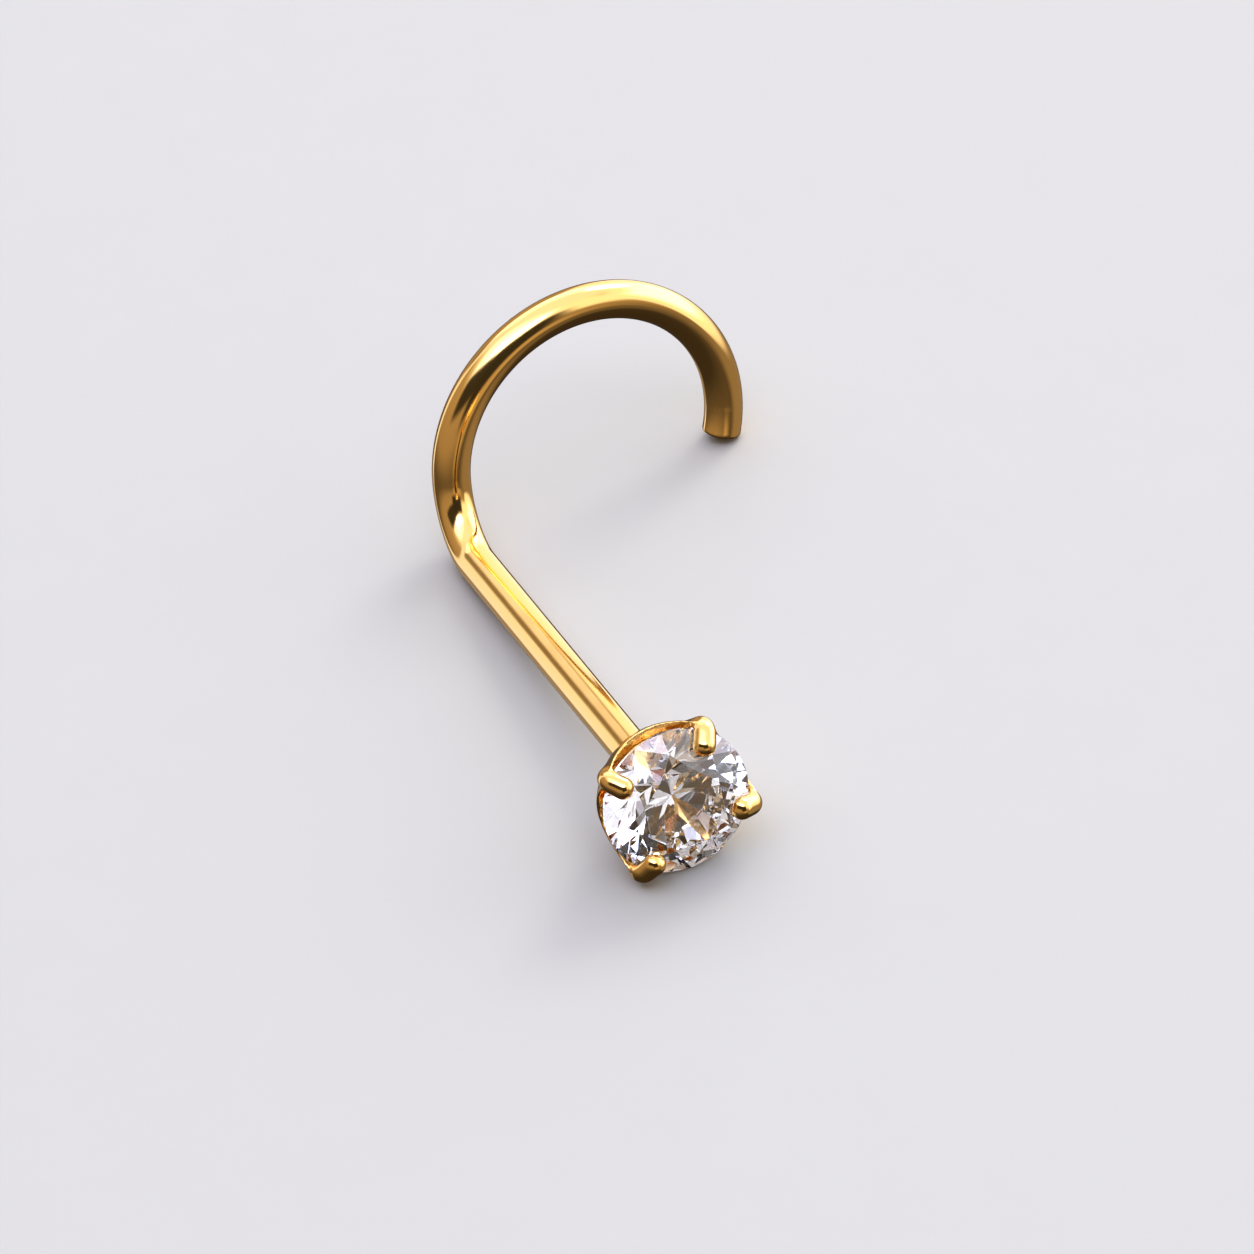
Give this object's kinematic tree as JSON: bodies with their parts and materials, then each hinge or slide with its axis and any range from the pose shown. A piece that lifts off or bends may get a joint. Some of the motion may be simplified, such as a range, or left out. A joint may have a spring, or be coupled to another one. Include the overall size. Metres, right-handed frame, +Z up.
{
  "type": "nose stud",
  "caption": "Nose stud of the screw kind: a clear round brilliant in a claw setting on a gold wire post that bends square into an open hook.",
  "frame": {"origin": "middle of the bounding box, on the floor that the stud lies on by itself", "axes": "+Z up from the floor; +Y in plan along the post, from the stone to the hook, which is the longest extent; +X to the side that the hook opens over"},
  "size_m": [0.0066, 0.0114, 0.0038],
  "materials": {
    "stone": "clear, cut and polished, with flat facets",
    "gold": "yellow gold alloy, mirror polished, with faint drawing and polishing lines"
  },
  "bodies": {
    "root": {"stone": "stone", "setting_and_wire": "gold"}
  },
  "joints": []
}
